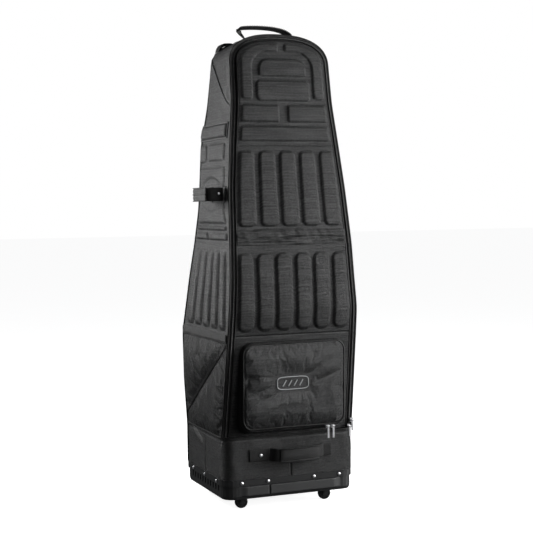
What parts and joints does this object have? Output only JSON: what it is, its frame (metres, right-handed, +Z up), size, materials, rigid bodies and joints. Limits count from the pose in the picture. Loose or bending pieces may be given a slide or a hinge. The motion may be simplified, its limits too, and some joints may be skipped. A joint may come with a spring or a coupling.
{
  "type": "golf travel case",
  "caption": "Tall padded fabric case for an upright golf bag on a hard wheeled base, with a zipped front door that folds, a front pocket, carry handles and a ring.",
  "frame": {"origin": "on the floor, under the middle of the object's bounding box", "axes": "+Z up, -Y out of the front door, +X to the right as seen from the front"},
  "size_m": [0.416, 0.382, 1.307],
  "materials": {
    "woven_shell": "tight woven polyester",
    "padded_liner": "knitted padding",
    "webbing": "ribbed webbing and tape",
    "hard_plastic": "moulded, fine grain",
    "wheel_rubber": "smooth tread",
    "plated_metal": "bright plating"
  },
  "bodies": {
    "shell": {"base_tray": "hard_plastic", "front_kick_plate": "hard_plastic", "floor_pad": "padded_liner", "collar_front": "woven_shell", "collar_left": "woven_shell", "collar_right": "woven_shell", "back_panel": "woven_shell", "side_left_upper": "woven_shell", "side_left_lower": "woven_shell", "side_strap_left": "webbing", "side_right_upper": "woven_shell", "side_right_lower": "woven_shell", "side_strap_right": "webbing", "top_arch": "woven_shell", "zipper_frame": "webbing", "side_handle_patch_front": "webbing", "side_handle_patch_rear": "webbing", "front_handle_tab_left": "webbing", "front_handle_tab_right": "webbing", "top_handle_patch_left": "webbing", "top_handle_patch_right": "webbing", "ring_tab": "webbing", "rivet_front_1": "plated_metal", "rivet_front_2": "plated_metal", "rivet_front_3": "plated_metal", "rivet_front_4": "plated_metal", "rivet_left_1": "plated_metal", "rivet_left_2": "plated_metal", "rivet_left_3": "plated_metal", "caster_left_plate": "hard_plastic", "caster_right_plate": "hard_plastic", "rear_housing_left": "hard_plastic", "rear_housing_right": "hard_plastic"},
    "door_lower": {"door_lower_panel": "woven_shell", "pocket_gusset": "webbing"},
    "door_upper": {"door_upper_panel": "woven_shell"},
    "pocket_flap": {"pocket_flap_panel": "woven_shell", "pocket_badge": "hard_plastic"},
    "door_upper_slider": {"door_upper_slider": "plated_metal"},
    "door_upper_pull": {"door_upper_pull": "plated_metal"},
    "door_lower_slider": {"door_lower_slider": "plated_metal"},
    "door_lower_pull": {"door_lower_pull": "plated_metal"},
    "pocket_left_slider": {"pocket_left_slider": "plated_metal"},
    "pocket_left_pull": {"pocket_left_pull": "plated_metal"},
    "pocket_right_slider": {"pocket_right_slider": "plated_metal"},
    "pocket_right_pull": {"pocket_right_pull": "plated_metal"},
    "top_handle": {"top_handle_strap": "webbing"},
    "side_handle": {"side_handle_loop": "webbing", "side_handle_grip": "padded_liner"},
    "front_handle": {"front_handle_strap": "webbing", "front_handle_grip": "padded_liner"},
    "ring": {"hanging_ring": "plated_metal"},
    "caster_left_swivel": {"caster_left_fork": "hard_plastic"},
    "caster_left_roller": {"caster_left_wheel": "wheel_rubber"},
    "caster_right_swivel": {"caster_right_fork": "hard_plastic"},
    "caster_right_roller": {"caster_right_wheel": "wheel_rubber"},
    "rear_left_wheel": {"rear_tyre_left": "wheel_rubber", "rear_hub_left": "hard_plastic"},
    "rear_right_wheel": {"rear_tyre_right": "wheel_rubber", "rear_hub_right": "hard_plastic"}
  },
  "joints": [
    {"name": "lower_door_fold", "type": "hinge", "parent": "shell", "child": "door_lower", "pos_m": [0.00767, -0.14652, 0.2026], "axis": [-1, 0, 0], "range_deg": [-50, 0]},
    {"name": "upper_door_fold", "type": "hinge", "parent": "door_lower", "child": "door_upper", "pos_m": [0.00767, -0.17552, 0.728], "axis": [1, 0, 0], "range_deg": [0, 95]},
    {"name": "pocket_flap_fold", "type": "hinge", "parent": "door_lower", "child": "pocket_flap", "pos_m": [0.00767, -0.17602, 0.2256], "axis": [1, 0, 0], "range_deg": [0, 85]},
    {"name": "door_zip_upper", "type": "slide", "parent": "shell", "child": "door_upper_slider", "axis": [-0.0186, -0.1639, 0.9863], "range_m": [0, 0.21]},
    {"name": "door_zip_upper_pull", "type": "hinge", "parent": "door_upper_slider", "child": "door_upper_pull", "pos_m": [0.19407, -0.14488, 0.224], "axis": [-1, 0, 0], "range_deg": [0, 120]},
    {"name": "door_zip_lower", "type": "slide", "parent": "shell", "child": "door_lower_slider", "axis": [-0.0186, -0.1639, 0.9863], "range_m": [0, 0.004]},
    {"name": "door_zip_lower_pull", "type": "hinge", "parent": "door_lower_slider", "child": "door_lower_pull", "pos_m": [0.18647, -0.14428, 0.2075], "axis": [-1, 0, 0], "range_deg": [0, 120]},
    {"name": "pocket_zip_left", "type": "slide", "parent": "door_lower", "child": "pocket_left_slider", "axis": [-1, 0, 0], "range_m": [0, 0.2]},
    {"name": "pocket_zip_left_pull", "type": "hinge", "parent": "pocket_left_slider", "child": "pocket_left_pull", "pos_m": [0.10567, -0.17961, 0.2195], "axis": [1, 0, 0], "range_deg": [-120, 0]},
    {"name": "pocket_zip_right", "type": "slide", "parent": "door_lower", "child": "pocket_right_slider", "axis": [1, 0, 0], "range_m": [0, 0.006]},
    {"name": "pocket_zip_right_pull", "type": "hinge", "parent": "pocket_right_slider", "child": "pocket_right_pull", "pos_m": [0.12067, -0.17961, 0.2195], "axis": [1, 0, 0], "range_deg": [-120, 0]},
    {"name": "top_handle_lean", "type": "hinge", "parent": "shell", "child": "top_handle", "pos_m": [0.00767, 0.00098, 1.275], "axis": [1, 0, 0], "range_deg": [-40, 40]},
    {"name": "side_handle_lift", "type": "hinge", "parent": "shell", "child": "side_handle", "pos_m": [-0.165, -0.06252, 0.865], "axis": [0, 1, 0], "range_deg": [0, 75]},
    {"name": "front_handle_lift", "type": "hinge", "parent": "shell", "child": "front_handle", "pos_m": [0.02267, -0.14941, 0.169], "axis": [-1, 0, 0], "range_deg": [0, 80]},
    {"name": "ring_lift", "type": "hinge", "parent": "shell", "child": "ring", "pos_m": [-0.10985, 0.06599, 1.23856], "axis": [0, 1, 0], "range_deg": [0, 90]},
    {"name": "caster_left_turn", "type": "hinge", "parent": "shell", "child": "caster_left_swivel", "pos_m": [-0.10733, -0.09101, 0.037], "axis": [0, 0, 1], "continuous": true},
    {"name": "caster_left_roll", "type": "hinge", "parent": "caster_left_swivel", "child": "caster_left_roller", "pos_m": [-0.11533, -0.09101, 0.0175], "axis": [0, 1, 0], "continuous": true},
    {"name": "caster_right_turn", "type": "hinge", "parent": "shell", "child": "caster_right_swivel", "pos_m": [0.13867, -0.09101, 0.037], "axis": [0, 0, 1], "continuous": true},
    {"name": "caster_right_roll", "type": "hinge", "parent": "caster_right_swivel", "child": "caster_right_roller", "pos_m": [0.13067, -0.09101, 0.0175], "axis": [0, 1, 0], "continuous": true},
    {"name": "rear_left_roll", "type": "hinge", "parent": "shell", "child": "rear_left_wheel", "pos_m": [-0.09033, 0.14699, 0.03], "axis": [1, 0, 0], "continuous": true},
    {"name": "rear_right_roll", "type": "hinge", "parent": "shell", "child": "rear_right_wheel", "pos_m": [0.10567, 0.14699, 0.03], "axis": [1, 0, 0], "continuous": true}
  ]
}
